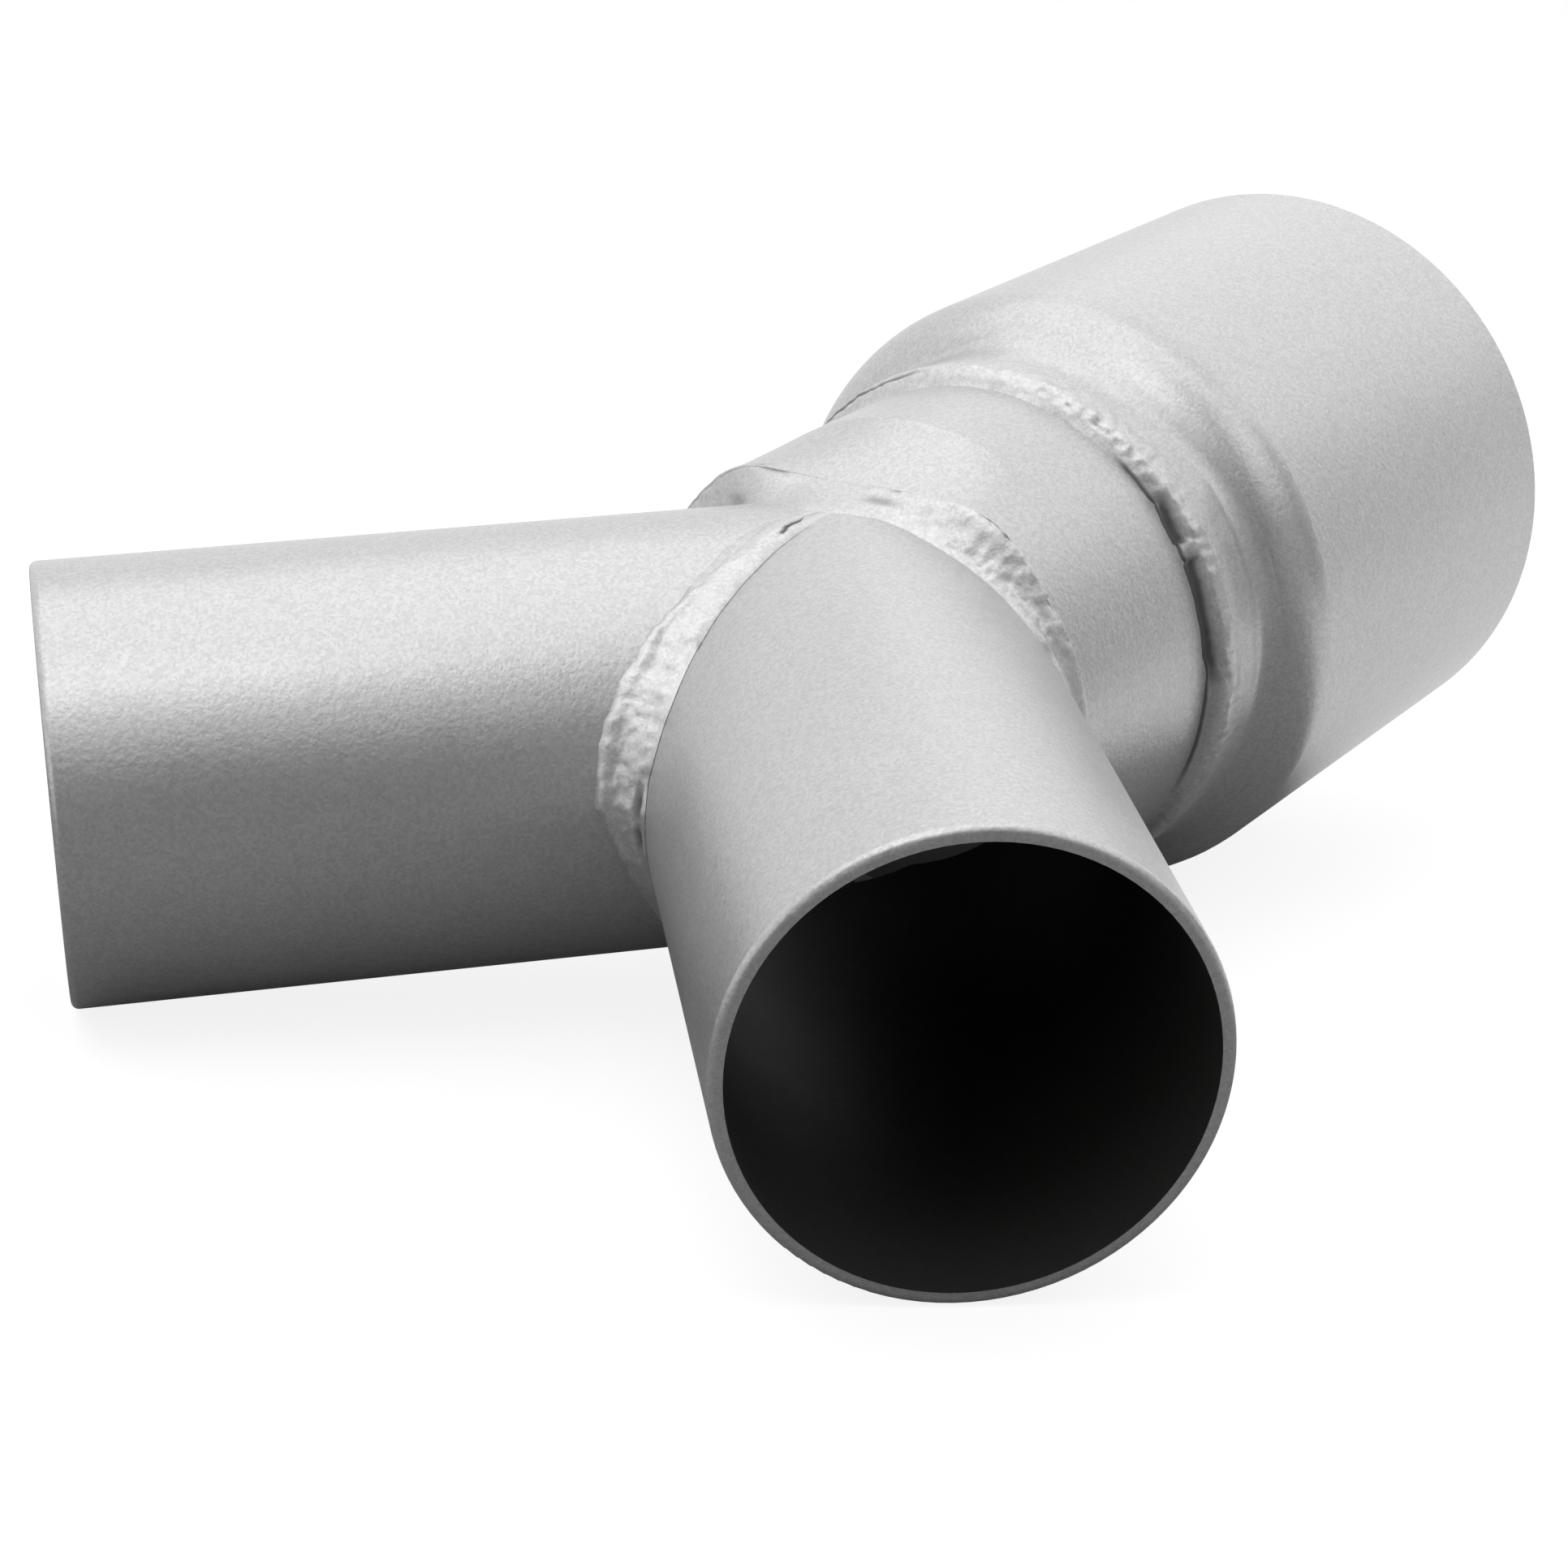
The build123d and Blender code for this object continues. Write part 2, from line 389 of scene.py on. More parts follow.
def off_edges(share, steepness):
    """1 in the middle of a bead's face, down to 0 at its two edges; steepness widens the middle."""
    return min(4 * share * (1 - share) * steepness, 1.0)


def keyed(value, keys):
    """A size read from given (place, size) keys, with smooth steps between them."""
    if value <= keys[0][0]:
        return keys[0][1]
    for (start, low), (end, high) in zip(keys, keys[1:]):
        if value <= end:
            return low + (high - low) * rise(value, start, end)
    return keys[-1][1]


def lumps(point, size, seed):
    """Uneven relief from -1 to 1 at a point in millimetres, with lumps of about size; seed moves them."""
    return noise.noise(point / size + Vector((seed, 2 * seed, 3 * seed)))


def lumpy(point, rows):
    """Relief of several sizes of lump together, from rows of height, size and seed."""
    return sum(height * lumps(point, size, seed) for height, size, seed in rows)


def ripples(count, share, wander):
    """Crescent ripples across a bead from -1 to 1; count runs along it and share from toe to toe."""
    beat = count + 0.5 * (2 * share - 1) ** 2 + 0.5 * wander
    return 1 - 2 * abs(2 * (beat % 1.0) - 1) ** 1.4


def leg_of(points, share):
    """Which leg of a line of points a share of it falls in, and how far along that leg."""
    place = min(max(share, 0.0), LAST_SHARE) * (len(points) - 1)
    return int(place), place - int(place)


def along_line(points, share):
    """Point at a share of a line of corners, each leg taking the same share."""
    leg, t = leg_of(points, share)
    return points[leg].lerp(points[leg + 1], t)


def along_curve(points, share):
    """Point at a share of a smooth curve through the points."""
    leg, t = leg_of(points, share)
    before, start = points[max(leg - 1, 0)], points[leg]
    end, after = points[leg + 1], points[min(leg + 2, len(points) - 1)]
    return 0.5 * (2 * start + (end - before) * t + (2 * before - 5 * start + 4 * end - after) * t * t
                  + (3 * start - before - 3 * end + after) * t * t * t)


def bead_object(name, along, across, place, material, node):
    """A bead rolled up from a grid. place(u, share, under) gives a point, how dark it is with sooty colour
    and painted shade, and how much crust it has, whose colour carries a painted highlight.
    """
    bm = bmesh.new()
    hollow, coarse = (bm.verts.layers.float.new(layer) for layer in ("hollow", "coarse"))
    bmesh.ops.create_grid(bm, x_segments=along, y_segments=across, size=0.5)
    for vert in bm.verts:
        u, v = vert.co.x + 0.5, vert.co.y + 0.5
        under = v > FACE_SHARE
        share = (1 - v) / (1 - FACE_SHARE) if under else v / FACE_SHARE
        vert.co, vert[hollow], vert[coarse] = place(u, share, under)
    bmesh.ops.remove_doubles(bm, verts=bm.verts, dist=JOIN_DISTANCE)
    ends = [edge for edge in bm.edges if edge.is_boundary]
    if len(ends) > 2 * across:
        bm.free()
        raise RuntimeError(f"{name} didn't roll up")
    bmesh.ops.holes_fill(bm, edges=ends, sides=0)
    bmesh.ops.recalc_face_normals(bm, faces=bm.faces)
    bmesh.ops.transform(bm, matrix=PIPE_MM, verts=bm.verts)
    mesh = bpy.data.meshes.new(name)
    bm.to_mesh(mesh)
    bm.free()
    mesh.shade_smooth()
    mesh.set_sharp_from_angle(angle=radians(SHARP_ANGLE))
    piece = bpy.data.objects.new(name, mesh)
    bpy.context.scene.collection.objects.link(piece)
    mesh.materials.append(material)
    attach(piece, BODY)
    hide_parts(node)


def seam_frame(turn):
    """Point on the mitre seam and the direction straight out of the groove there; turn is 0 at the crotch."""
    point = Vector((-BRANCH_RADIUS / sin(HALF_ANGLE) * cos(turn), 0, BRANCH_RADIUS * sin(turn)))
    out = Vector((point.x * sin(HALF_ANGLE) ** 2, 0, point.z)).normalized()
    return point, out


def seam_lift(point, out, side):
    """How far out of the groove the branch's surface lies at a distance of side from the seam."""
    start = point.x * sin(HALF_ANGLE) + abs(side) * cos(HALF_ANGLE)
    slope = out.x * sin(HALF_ANGLE)
    square = slope ** 2 + out.z ** 2
    half = start * slope + point.z * out.z
    rest = start ** 2 + point.z ** 2 - BRANCH_RADIUS ** 2
    return (-half + sqrt(max(half ** 2 - square * rest, 0))) / square


def lip_radius(turn):
    """Collector's outline at its lip, round the outlet axis; turn is 0 at the top."""
    turn = abs((turn + pi) % (2 * pi) - pi)
    turn = min(turn, pi - turn)
    corner_z = LIP_HALF_HEIGHT - LIP_CORNER
    corner_y = sqrt((COLLECTOR_RADIUS - LIP_CORNER) ** 2 - corner_z ** 2)
    if tan(turn) * LIP_HALF_HEIGHT < corner_y:
        return LIP_HALF_HEIGHT / cos(turn)
    if tan(turn) * corner_z > corner_y:
        return COLLECTOR_RADIUS
    reach = sin(turn) * corner_y + cos(turn) * corner_z
    return reach + sqrt(reach ** 2 - corner_y ** 2 - corner_z ** 2 + LIP_CORNER ** 2)


def collector_radius(x, turn):
    """Collector's outside at x, round the outlet axis."""
    share = min(max((x - LIP_X) / PRESS_LENGTH, 0.0), 1.0)
    return lip_radius(turn) * (1 - share) + COLLECTOR_RADIUS * share


def pair_radius(x, turn):
    """Outside of the two branches at x, round the outlet axis."""
    side, up = abs(sin(turn)), cos(turn)
    square = (side * cos(HALF_ANGLE)) ** 2 + up ** 2
    half = x * sin(HALF_ANGLE) * cos(HALF_ANGLE) * side
    rest = (x * sin(HALF_ANGLE)) ** 2 - BRANCH_RADIUS ** 2
    return (-half + sqrt(half ** 2 - square * rest)) / square


def around(x, radius, turn):
    """Point round the outlet axis; turn is 0 at the top and grows towards the right branch."""
    return Vector((x, -radius * sin(turn), radius * cos(turn)))


# Each size along the seam is keyed in degrees from the crotch, upwards, and given in millimetres
CROTCH_LEFT = ((-97, 1.4), (-75, 2.4), (-40, 2.2), (-26, 1.4), (-13, 1.8), (-5, 2.3), (0, 2.8), (4, 3.7),
               (12, 4.1), (24, 4.2), (38, 4.3), (48, 3.9), (56, 4.3), (70, 4.5), (77, 4.0), (82, 2.8),
               (90, 1.8), (97, 1.0))
CROTCH_RIGHT = ((-97, 1.0), (-40, 1.6), (-10, 2.0), (5, 2.5), (18, 2.5), (30, 2.2), (42, 1.5), (50, 1.1),
                (75, 0.8), (97, 0.4))
CROTCH_RISE = ((-97, -0.3), (-86, 0.2), (-40, 0.5), (-12, 0.2), (4, -0.4), (34, -0.4), (46, 0.2), (56, 0.55),
               (72, 0.5), (80, 0.15), (90, 0.0), (97, -0.3))
CROTCH_RUN = 31.0  # mean radius of the seam
CROTCH_SUNK = (0.1, 0.04)  # how deep the bead's left and right edges lie in the branches
STREAK_REACH = 3.2  # from the seam to the left edge of the upper pass
STREAK_CROWN = 2.2
FILM = 0.03  # thickness of the paint that ran out beside the upper pass

# Degrees where each stretch of the seam starts, is full, fades and ends
LOWER_PASS = (-14, 2, 44, 52)
UPPER_PASS = (48, 56, 76, 84)
TOP_CREASE = (74, 76, 92, 96)

# Middle and half width of a form, in degrees along the seam or in millimetres across it
PASS_STOP = (51, 5)
CRACK_ALONG = (1, 13)
CRACK_ACROSS = (-1.3, 0.6)

# Relief of the crotch bead: rows for humps across it and for lumps all over it
CROTCH_RIDGES = ((0.22, 0.14, 0.17), (-0.15, 0.4, 0.24), (0.12, 0.8, 0.2))
CROTCH_STOP = ((0.3, 0.2, 0.2), (-0.2, 0.7, 0.3))
CROTCH_LUMPS = ((0.22, 3.6, 5.5), (0.15, 1.5, 2.2), (0.07, 0.7, 3.7))
LEFT_EDGE_LUMPS = ((0.1, 4.0, 3.1), (0.05, 1.3, 1.9))


def crotch_place(sizes):
    """Placing function of the bead along the mitre seam, from below the crotch to above it."""
    last = pi / 2 + asin(LIP_X * sin(HALF_ANGLE) / BRANCH_RADIUS)

    def place(u, share, under):
        turn = (2 * u - 1) * last
        at = degrees(turn)
        point, out = seam_frame(turn)
        left = keyed(at, CROTCH_LEFT) * (1 + lumpy(point, LEFT_EDGE_LUMPS))
        right = keyed(at, CROTCH_RIGHT) * (1 + 0.15 * lumps(point, 4.0, 8.4))
        side = left + (-right - left) * share
        spot = point + Vector((0, side, 0))
        floor = seam_lift(point, out, side)
        inner = off_edges(share, 5)
        sunk = (CROTCH_SUNK[0] if share < 0.5 else CROTCH_SUNK[1]) * (1 - inner)
        if under:
            return spot + out * (floor - sunk - sizes["sink"] * inner), 0.0, 0.0

        # A dished lower pass, and above it a narrow round streak with a thin layer of paint on its left,
        # darkened a little as painted shade
        lower_pass, upper_pass = stretch(at, *LOWER_PASS), stretch(at, *UPPER_PASS)
        low, high = seam_lift(point, out, left), seam_lift(point, out, right)
        height = low + (high - low) * share + keyed(at, CROTCH_RISE) * off_edges(share, 1)
        streak_left = min(left, STREAK_REACH)
        across = min(max((streak_left - side) / (streak_left + right), 0.0), 1.0)
        streak_low = seam_lift(point, out, streak_left)
        streak = streak_low + (high - streak_low) * across + STREAK_CROWN * across * (1 - across)
        if side > streak_left:
            streak = floor + FILM * inner
        height += (streak - height) * upper_pass

        # Ridges along it, the stop between the two passes, lumps and ripples
        stop = hump(at, *PASS_STOP) * humps(share, CROTCH_STOP)
        beat = turn * CROTCH_RUN / sizes["pitch"]
        ripple = 0.5 * sizes["ripple"] * ripples(beat, share, lumps(point, 5.0, 6.6))
        relief = ripple + lumpy(spot, CROTCH_LUMPS)
        height += inner * (lower_pass * humps(share, CROTCH_RIDGES) + stop)
        height += off_edges(share, 1.6) * (lower_pass + 0.45 * upper_pass + 0.2) * relief

        # A cracked gap beside the crotch, darkened with sooty colour and painted shade, and a creased line at
        # the top, darkened with painted shade
        cove = rise((1 - share) * (left + right), -0.05, 0.15)
        # Painted shade: the thin paint layer beside the upper pass is darkened a little and has no crust
        shaded_film = upper_pass * rise(side, streak_left - 0.3, streak_left + 0.3)
        shaded_crack = hump(side, *CRACK_ACROSS) * hump(at, *CRACK_ALONG)
        shaded_crack *= max(0.8 + 0.7 * lumps(point, 2.2, 4.4), 0.0)
        shaded_crease = hump(side + 0.5 * lumps(point, 1.1, 5.2), 0.9 - 0.3 * rise(at, 84, 92), 0.42)
        shaded_crease *= stretch(at, *TOP_CREASE) * max(1.0 + 0.6 * lumps(point, 1.2, 9.1), 0.0)
        height = floor + (height - floor) * cove - sunk - inner * (shaded_crack + 0.22 * shaded_crease)
        hollow = min(shaded_crack * 1.1 + shaded_crease * 1.3 + 0.1 * shaded_film, 1.0)
        return spot + out * height, hollow, off_edges(share, 2) * (1 - shaded_film)

    return place, 2 * last * CROTCH_RUN


# Each size round the pipe is keyed in degrees from the top, growing towards the right branch
COLLECTOR_TOE = ((-180, 1.8), (-90, 1.4), (-40, 1.7), (-20, 6.5), (-8, 7.5), (0, 6.8), (6, 5.6), (13, 4.4),
                 (22, 4.1), (45, 4.0), (58, 4.0), (68, 3.6), (80, 3.2), (110, 2.8), (140, 1.8), (180, 1.8))
COLLECTOR_COVER = ((-180, 0.4), (-40, 0.4), (-20, 1.2), (-2, 1.2), (6, 0.7), (28, 0.6), (40, 0.8), (54, 0.7),
                   (66, 0.8), (84, 1.2), (120, 0.5), (180, 0.4))
COLLECTOR_LIVELY = ((-180, 0.7), (-120, 0.4), (-50, 0.35), (-26, 0.1), (0, 0.05), (10, 0.5), (20, 1.0),
                    (62, 1.0), (74, 0.5), (88, 0.1), (120, 0.4), (180, 0.7))
COLLECTOR_BROW = ((-20, 0.03), (0, 0.05), (6, 0.22), (24, 0.26), (34, 0.12), (60, 0.12), (75, 0.03))
COLLECTOR_RUN = 29.5  # mean radius of the bead
COLLECTOR_SUNK = 0.08  # how deep its edges lie in the tubes
COLLECTOR_LEAN = 0.75  # how far its relief leans to the branches
COLLECTOR_LUMPS = ((0.2, 2.4, 7.7), (0.14, 1.3, 1.2), (0.07, 0.6, 2.1))
LIP_MARKS = ((1.0, 35, 4.5), (0.8, 57, 2.5))
LIP_GROOVES = (  # depth, then middle and half width across the bead and in degrees along it
    (0.45, (0.44, 0.1), (9, 8)),
    (1.0, (0.2, 0.14), (-24, 6)),
)


def collector_place(sizes):
    """Placing function of the bead round the collector's lip."""
    reach = 2 * pi * COLLECTOR_RUN
    count = round(reach / sizes["pitch"])

    def place(u, share, under):
        turn = (2 * u - 1) * pi
        at = degrees(turn)
        ring = around(0, COLLECTOR_RUN, turn)
        lively = keyed(at, COLLECTOR_LIVELY)
        toe_x = LIP_X - keyed(at, COLLECTOR_TOE) * (1 + 0.14 * lively * lumps(ring, 3.5, 6.3))
        cover_x = LIP_X + keyed(at, COLLECTOR_COVER) * (1 + 0.4 * lively * lumps(ring, 2.5, 9.9))
        toe = Vector((toe_x, pair_radius(toe_x, turn) - COLLECTOR_SUNK))
        cover = Vector((cover_x, collector_radius(cover_x, turn) - COLLECTOR_SUNK))
        lip = lip_radius(turn)
        if under:
            corner = Vector((LIP_X + 0.3, pair_radius(LIP_X, turn) - sizes["sink"]))
            edge = Vector((LIP_X + 0.5, lip - sizes["sink"]))
            spot = along_line((cover, edge, corner, toe), share)
            return around(spot.x, spot.y, turn), 0.0, 0.0

        # The face, from the collector over its lip and down to the branches
        middle_x, near_x = LIP_X + 0.45 * (toe_x - LIP_X), LIP_X + 0.76 * (toe_x - LIP_X)
        brow = Vector((LIP_X + 0.05, lip + keyed(at, COLLECTOR_BROW)))
        middle = Vector((middle_x, 0.5 * (lip + pair_radius(middle_x, turn)) + 0.2 * lively))
        near = Vector((near_x, pair_radius(near_x, turn) + 0.26 + 0.4 * lively))
        flat = along_curve((cover, brow, middle, near, toe), share)
        spot = around(flat.x, flat.y, turn)
        out = (around(0, 1, turn) + Vector((-COLLECTOR_LEAN, 0, 0))).normalized()

        # Lumps and ripples, pits along the lip, and two short grooves and two marks at the top and right,
        # darkened with painted shade
        ripple = 0.35 * sizes["ripple"] * ripples(count * u, share, lumps(ring, 4.0, 2.9))
        relief = ripple + lumpy(spot, COLLECTOR_LUMPS)
        pit = hump(share, 0.2, 0.1) * lively * max(lumps(ring, 1.5, 12.1) * 2.0 - 0.35, 0.0)
        groove_shade = sum(depth * hump(share, *across) * hump(at, *along) for depth, across, along in LIP_GROOVES)
        groove_shade += hump(share, 0.17, 0.08) * humps(at, LIP_MARKS) * max(0.8 + lumps(ring, 0.9, 3.3), 0.0)
        height = (lively * relief - 0.3 * pit - 0.2 * groove_shade) * off_edges(share, 2)
        # Painted shade in the pits, grooves and marks
        return spot + out * height, min(pit + groove_shade, 1.0), lively

    return place, reach


OUTLET_GAPE = ((-180, 0.3), (-75, 0.25), (-52, 0.1), (-14, 0.05), (28, 0.0), (40, 0.05), (46, 0.2), (50, 0.7),
               (54, 1.0), (57.8, 0.95), (59.4, 0.25), (61.6, 0.2), (63.4, 0.9), (70, 1.0), (83, 1.05),
               (88, 0.6), (94, 0.2), (114, 0.05), (140, 0.3), (180, 0.3))
OUTLET_SWELL = ((-180, 0.3), (-48, 0.5), (-14, 0.1), (28, 0.0), (44, 0.5), (56, 0.9), (88, 1.0), (110, 0.6),
                (130, 0.4), (180, 0.3))
OUTLET_FILL = ((-180, 0.2), (-60, 0.0), (-30, 0.0), (4, 1.0), (130, 1.0), (160, 0.2), (180, 0.2))
OUTLET_CLEAR = 0.06  # how far the bead's face stays off the collector, past its toe
STRIP_LUMPS = ((0.26, 1.3, 9.4), (0.12, 0.7, 4.1))

# Degrees where each stretch of the outlet bead starts, is full, fades and ends
OUTLET_STRIP = (1, 3, 40, 50)
LEFT_CREASE = (-62, -50, -26, -15)
TOE_SHADE = (33, 39, 108, 124)

# Middle and half width of each form across the outlet bead, as shares of its face
RELIEF_ACROSS = (0.32, 0.32)
CREVICE_ACROSS = (0.16, 0.17)
CREASE_ACROSS = (0.33, 0.06)
PITS_ACROSS = (0.24, 0.05)
TOE_SHADE_ACROSS = (0.05, 0.06)


def shoulder(before, under):
    """Point under the shoulder's outside, so many degrees before its top."""
    turn, radius = radians(before), SHOULDER_RADIUS - under
    return Vector((SHOULDER_X - radius * sin(turn), SHOULDER_CENTRE + radius * cos(turn)))


def profile(*points):
    """Corners of a bead's section as (x, radius) pairs."""
    return [Vector(point) for point in points]


# Section of the outlet bead: its front closed, steep or open over a crevice, and its back low, full or bare
TOE_RADIUS = COLLECTOR_RADIUS - 0.1
CLOSED_FRONT = profile((32.8, TOE_RADIUS), (33.25, 32.05), (33.7, 32.6), (34.25, 33.05), (34.9, 33.45))
STEEP_FRONT = profile((33.2, TOE_RADIUS), (33.75, 31.62), (34.05, 32.2), (34.4, 33.05), (34.9, 33.55))
OPEN_FRONT = profile((32.4, TOE_RADIUS), (33.1, 31.62), (33.9, 31.64), (34.4, 32.3), (34.72, 33.4))
BEAD_END = shoulder(47, 0.0), shoulder(39, 0.05)
BARE_END = shoulder(47, 0.06), shoulder(39, 0.08)
LOW_BACK = profile((36.4, 33.45), (38.6, 33.43), (40.4, 33.61), (42.0, 34.15), (43.4, 34.98), *BEAD_END)
FULL_BACK = profile((36.2, 33.95), (38.2, 33.8), (40.4, 34.12), (42.0, 34.24), (43.4, 35.0), *BEAD_END)
BARE_BACK = profile((35.6, 33.6), (37.0, 33.3), (38.6, 33.05), (41.4, 33.05), (43.15, 33.85), *BARE_END)
TOE, BROW, HEEL = 0, 4, 7  # corners of the section that wander along the bead
UNDER_NECK_X = 41.9  # the underside follows the neck to here
UNDER_SHOULDER = Vector((43.9, 34.1))


def outlet_section(at, ring):
    """Corners of the outlet bead's face at an angle, and how far its front gapes there."""
    gape = keyed(at, OUTLET_GAPE) * (1 + 0.2 * lumps(ring, 2.5, 7.1))
    swell = keyed(at, OUTLET_SWELL)
    fill = keyed(at, OUTLET_FILL)
    if gape < 0.5:
        first, second, mix = CLOSED_FRONT, STEEP_FRONT, 2 * gape
    else:
        first, second, mix = STEEP_FRONT, OPEN_FRONT, 2 * gape - 1
    line = [start.lerp(end, mix) for start, end in zip(first, second)]
    backs = zip(BARE_BACK, LOW_BACK, FULL_BACK)
    line += [bare.lerp(low.lerp(full, swell), fill) for bare, low, full in backs]
    line[TOE].x += 0.25 * lumps(ring, 3.0, 1.1)
    line[BROW].y += 0.2 * lumps(ring, 3.4, 6.2)
    line[HEEL].x += 0.6 * swell * fill * lumps(ring, 4.0, 2.6)
    line[HEEL].y += 0.14 * fill * lumps(ring, 3.0, 4.6)
    return line, gape


def outlet_place(sizes):
    """Placing function of the bead round the collector at the lip of the outlet's neck."""
    reach = 2 * pi * COLLECTOR_RADIUS
    count = round(reach / sizes["pitch"])
    deep = sizes["sink"]
    corners = profile((NECK_X + deep, COLLECTOR_RADIUS - deep), (NECK_X + deep, NECK_RADIUS - deep),
                      (UNDER_NECK_X, NECK_RADIUS - deep), UNDER_SHOULDER)

    def place(u, share, under):
        turn = (2 * u - 1) * pi
        at = degrees(turn)
        ring = around(0, COLLECTOR_RADIUS, turn)
        line, gape = outlet_section(at, ring)
        if under:
            spot = along_line((line[0], *corners, line[-1]), share)
            return around(spot.x, spot.y, turn), 0.0, 0.0

        # Lumps and ripples, stronger where the front is a closed strip
        spot = along_curve(line, share)
        flat = around(spot.x, spot.y, turn)
        strip = stretch(at, *OUTLET_STRIP)
        relief = sizes["ripple"] * ripples(count * u, share * 1.6, lumps(ring, 5.0, 4.2)) * (1 - 0.5 * gape)
        relief += (0.1 + 0.14 * gape) * lumps(flat, 2.8, 3.3) + 0.12 * lumps(flat, 1.0, 5.8)
        relief += strip * (0.12 + lumpy(flat, STRIP_LUMPS))

        # Dark in the crevice, with sooty colour and painted shade, and with painted shade in a creased line
        # on the left, in pits of the strip and in a thin line at the toe
        shaded_crease = hump(share, *CREASE_ACROSS) * stretch(at, *LEFT_CREASE)
        pits = strip * hump(share, *PITS_ACROSS) * max(2.5 * lumps(ring, 1.2, 6.1) - 0.3, 0.0)
        toe_shade = hump(share, *TOE_SHADE_ACROSS) * stretch(at, *TOE_SHADE)
        crevice = min(1.2 * gape, 1.0) * hump(share, *CREVICE_ACROSS)
        # Painted shade, with sooty colour in the crevice
        dark = crevice + 0.8 * shaded_crease + 0.35 * pits + 0.8 * toe_shade
        radius = spot.y + hump(share, *RELIEF_ACROSS) * relief - 0.2 * shaded_crease
        if share > OUTLET_CLEAR:
            radius = max(radius, COLLECTOR_RADIUS + OUTLET_CLEAR)
        return around(spot.x, radius, turn), min(dark * 1.15, 1.0), 1 - rise(share, 0.5, 0.75)

    return place, reach


# Operators

class Y_PIPE_OT_paint_tubes(bpy.types.Operator):
    """Paint the four tubes silver outside and their bores bare steel, darkened with painted shade"""

    bl_idname = "y_pipe.paint_tubes"
    bl_label = "Paint tubes"

    def execute(self, context):
        settings = context.scene.y_pipe_paint
        axes = {"left_branch": LEFT_AXIS, "right_branch": RIGHT_AXIS}
        for name in TUBES:
            if name not in frame["nodes"]:
                raise RuntimeError(f"the frame has no {name}")
            tube = frame["nodes"][name].data
            tube.materials.clear()
            tube.materials.append(tube_paint(f"{name}_paint", settings, axes.get(name, OUTLET_AXIS)))
        return {"FINISHED"}


def lay_bead(context, name, node, make_place, across):
    """Build one bead in the place of its plain solid, with so many faces across it."""
    settings = context.scene.y_pipe_beads
    sizes = {size: getattr(settings, size) / MM for size in settings.__annotations__}
    material = bpy.data.materials.get("bead_paint") or bead_paint("bead_paint", context.scene.y_pipe_paint)
    place, reach = make_place(sizes)
    bead_object(name, round(reach / sizes["step"]), across, place, material, node)


class Y_PIPE_OT_lay_crotch_bead(bpy.types.Operator):
    """Lay the bead along the mitre seam of the two branches"""

    bl_idname = "y_pipe.lay_crotch_bead"
    bl_label = "Lay crotch bead"

    def execute(self, context):
        lay_bead(context, "crotch_bead", "crotch_weld", crotch_place, across=40)
        return {"FINISHED"}


class Y_PIPE_OT_lay_collector_bead(bpy.types.Operator):
    """Lay the bead between the collector's lip and the branches"""

    bl_idname = "y_pipe.lay_collector_bead"
    bl_label = "Lay collector bead"

    def execute(self, context):
        lay_bead(context, "collector_bead", "collector_weld", collector_place, across=34)
        return {"FINISHED"}


class Y_PIPE_OT_lay_outlet_bead(bpy.types.Operator):
    """Lay the bead round the collector at the outlet's neck"""

    bl_idname = "y_pipe.lay_outlet_bead"
    bl_label = "Lay outlet bead"

    def execute(self, context):
        lay_bead(context, "outlet_bead", "outlet_weld", outlet_place, across=64)
        return {"FINISHED"}


# The stage, in metres, with bearings and height angles in degrees round the middle of the floor
SENSOR_WIDTH = 36.0  # millimetres
FLOOR_SIZE = (6, 6)
FLOOR_PLACE = (0, 0, -0.0002)
LOW_CARD_SIZE = (0.8, 0.95)
LOW_CARD_PLACE = (-0.32, -0.12, -0.0006)
CEILING_PLACE = (-0.12, 0.24, 0.62)
CEILING_TURN = (0, 0, radians(-22))
CEILING_SIZE = (0.95, 0.74)
AIMED_LAMPS = {  # bearing, height angle and distance, then size
    "key": ((-160, 60, 0.6), (0.26, 0.16)),
    "rim": ((-70, 48, 0.72), (0.5, 0.32)),
    "side": ((2, 37, 0.9), (1.0, 0.55)),
}
SCREEN_DISTANCE = 0.8
SCREEN_STEPS = 48
SCREENS = {  # height, first and last bearing, and the setting that holds the grey
    "camera_screen": (0.5, 186, 232, "soft_grey"),
    "left_screen": (1.3, 232, 248, "dark_grey"),
    "pale_screen": (0.5, 248, 302, "pale_grey"),
    "right_screen": (0.8, 302, 322, "soft_grey"),
}


def stage_piece(name, bm, material):
    """A thing of the stage, from its mesh."""
    mesh = bpy.data.meshes.new(name)
    bm.to_mesh(mesh)
    bm.free()
    mesh.materials.append(material)
    thing = bpy.data.objects.new(name, mesh)
    bpy.context.scene.collection.objects.link(thing)
    return thing


def stage_sheet(name, size, place, material):
    """A flat sheet of the stage."""
    matrix = Matrix.Translation(place) @ Matrix.Diagonal((*size, 1, 1))
    bm = bmesh.new()
    bmesh.ops.create_grid(bm, x_segments=1, y_segments=1, size=0.5, matrix=matrix)
    return stage_piece(name, bm, material)


def stage_screen(name, height, first, last, material):
    """A round screen of the stage, from one bearing to another."""
    bm = bmesh.new()
    foot = bm.verts.new(Matrix.Rotation(radians(first), 3, "Z") @ Vector((SCREEN_DISTANCE, 0, 0)))
    bmesh.ops.extrude_vert_indiv(bm, verts=[foot])
    bmesh.ops.translate(bm, verts=[vert for vert in bm.verts if vert is not foot], vec=(0, 0, height))
    bmesh.ops.spin(bm, geom=[*bm.verts, *bm.edges], cent=(0, 0, 0), axis=(0, 0, 1),
                   angle=radians(last - first), steps=SCREEN_STEPS)
    return stage_piece(name, bm, material)


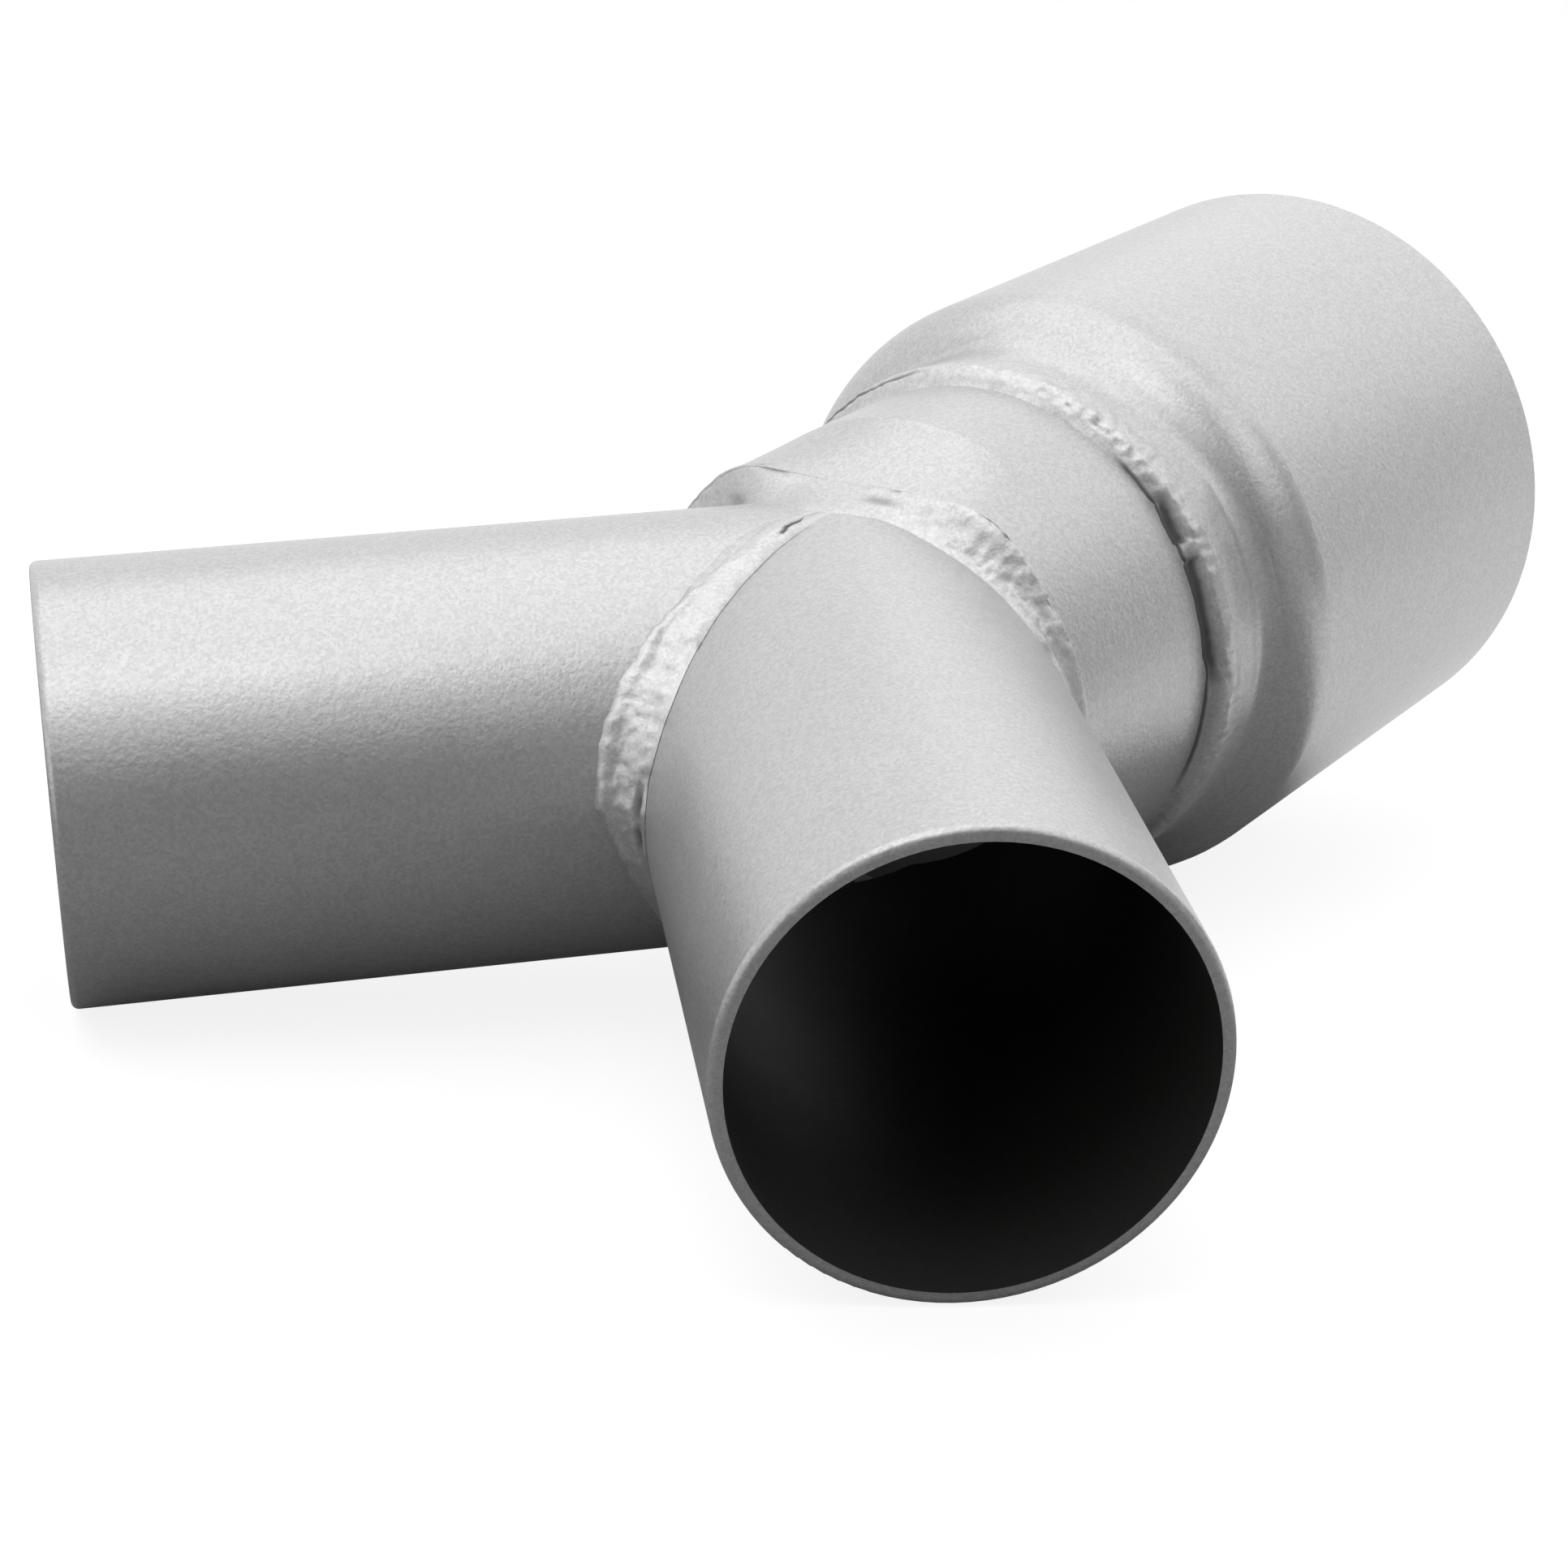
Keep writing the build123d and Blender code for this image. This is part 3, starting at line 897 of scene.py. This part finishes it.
def hide_card(card):
    """Keep a card out of the picture and its shadow off the object."""
    card.visible_camera = False
    card.visible_shadow = False
    card.visible_transmission = False


def towards(bearing, height, distance):
    """Point at a bearing and height angle in degrees, seen from the middle of the floor."""
    across, up = radians(bearing), radians(height)
    return distance * Vector((cos(up) * cos(across), cos(up) * sin(across), sin(up)))


def seen_by_picture(tree):
    """1 for rays that show the background itself, in the picture, in metal or through glass."""
    path = put(tree, "ShaderNodeLightPath").outputs
    seen = calc(tree, "MAXIMUM", path["Is Camera Ray"], path["Is Glossy Ray"])
    return calc(tree, "MAXIMUM", seen, path["Is Transmission Ray"])


def matt(tree, grey):
    """Plain grey that shines nowhere."""
    return put(tree, "ShaderNodeBsdfDiffuse", {"Color": (grey, grey, grey, 1.0)}).outputs[0]


def matt_card(name, grey):
    """Material of a card that only the object sees."""
    material = bpy.data.materials.new(name)
    material.use_nodes = True
    tree = material.node_tree
    tree.nodes.clear()
    put(tree, "ShaderNodeOutputMaterial", {"Surface": matt(tree, grey)})
    return material


class Y_PIPE_OT_set_stage(bpy.types.Operator):
    """Set the camera, the tent's light and its floor"""

    bl_idname = "y_pipe.set_stage"
    bl_label = "Set stage"

    def execute(self, context):
        scene = context.scene
        stage = scene.y_pipe_stage
        scene.view_settings.view_transform = "Standard"
        self.add_camera(scene, stage)
        self.add_world(scene, stage)
        self.add_floor(stage)
        self.add_cards(stage)
        self.add_lamp(scene, "ceiling", CEILING_PLACE, CEILING_TURN, CEILING_SIZE, stage.ceiling)
        for name, (aim, size) in AIMED_LAMPS.items():
            place = towards(*aim)
            turn = place.to_track_quat("Z", "Y").to_euler()
            self.add_lamp(scene, name, place, turn, size, getattr(stage, name))
        return {"FINISHED"}

    def add_camera(self, scene, stage):
        """Stand the camera where the photograph was taken from."""
        camera = bpy.data.cameras.new("camera")
        camera.sensor_width = SENSOR_WIDTH
        camera.lens = stage.lens
        holder = bpy.data.objects.new("camera", camera)
        holder.location = stage.camera_place
        holder.rotation_euler = stage.camera_turn
        scene.collection.objects.link(holder)
        scene.camera = holder

    def add_world(self, scene, stage):
        """Put white walls round the stage, which light the object less than they show."""
        world = bpy.data.worlds.new("tent")
        world.use_nodes = True
        tree = world.node_tree
        tree.nodes.clear()
        strength = ramp(tree, seen_by_picture(tree), 0.0, 1.0, stage.ambient, 1.0)
        sky = put(tree, "ShaderNodeBackground", {"Color": (1, 1, 1, 1), "Strength": strength})
        put(tree, "ShaderNodeOutputWorld", {"Surface": sky.outputs[0]})
        scene.world = world

    def add_floor(self, stage):
        """Lay a floor that shows white and keeps the object's shadow."""
        floor = bpy.data.materials.new("floor_white")
        floor.use_nodes = True
        tree = floor.node_tree
        tree.nodes.clear()
        lift = calc(tree, "MULTIPLY", seen_by_picture(tree), stage.floor_white)
        white = put(tree, "ShaderNodeEmission", {"Strength": lift})
        both = put(tree, "ShaderNodeAddShader", {0: matt(tree, stage.floor_grey), 1: white.outputs[0]})
        put(tree, "ShaderNodeOutputMaterial", {"Surface": both.outputs[0]})
        sheet = stage_sheet("floor", FLOOR_SIZE, FLOOR_PLACE, floor)
        sheet.visible_glossy = False
        sheet.visible_diffuse = False

    def add_cards(self, stage):
        """Stand the grey screens round the object and lay the card that it sees under it."""
        for name, (height, first, last, grey) in SCREENS.items():
            card = matt_card(f"{name}_card", getattr(stage, grey))
            hide_card(stage_screen(name, height, first, last, card))
        table = matt_card("table_grey", stage.table_grey)
        hide_card(stage_sheet("low_card", LOW_CARD_SIZE, LOW_CARD_PLACE, table))

    def add_lamp(self, scene, name, place, turn, size, power):
        """Hang one soft lamp."""
        lamp = bpy.data.lights.new(name, "AREA")
        lamp.shape = "RECTANGLE"
        lamp.size, lamp.size_y = size
        lamp.energy = power
        holder = bpy.data.objects.new(name, lamp)
        holder.location = place
        holder.rotation_euler = turn
        scene.collection.objects.link(holder)


class Y_PIPE_PT_panel(bpy.types.Panel):
    """Steps of the Y pipe connector's visual model"""

    bl_idname = "Y_PIPE_PT_panel"
    bl_label = "Y pipe connector"
    bl_space_type = "VIEW_3D"
    bl_region_type = "UI"
    bl_category = "Y pipe"

    def draw(self, context):
        for step in STEPS:
            self.layout.operator(step.bl_idname)
        for group in SETTINGS:
            values = getattr(context.scene, group)
            box = self.layout.box()
            for name in values.__annotations__:
                box.prop(values, name)


STEPS = (
    Y_PIPE_OT_paint_tubes,
    Y_PIPE_OT_lay_crotch_bead,
    Y_PIPE_OT_lay_collector_bead,
    Y_PIPE_OT_lay_outlet_bead,
    Y_PIPE_OT_set_stage,
)
SETTINGS = {"y_pipe_paint": PaintSettings, "y_pipe_beads": BeadSettings, "y_pipe_stage": StageSettings}


def register():
    for kind in (*SETTINGS.values(), *STEPS, Y_PIPE_PT_panel):
        bpy.utils.register_class(kind)
    for name, kind in SETTINGS.items():
        setattr(bpy.types.Scene, name, PointerProperty(type=kind))


def unregister():
    for name in SETTINGS:
        delattr(bpy.types.Scene, name)
    for kind in reversed((*SETTINGS.values(), *STEPS, Y_PIPE_PT_panel)):
        bpy.utils.unregister_class(kind)


def main():
    register()
    bpy.ops.y_pipe.paint_tubes()
    bpy.ops.y_pipe.lay_crotch_bead()
    bpy.ops.y_pipe.lay_collector_bead()
    bpy.ops.y_pipe.lay_outlet_bead()
    bpy.ops.y_pipe.set_stage()


if __name__ == "__main__":
    main()
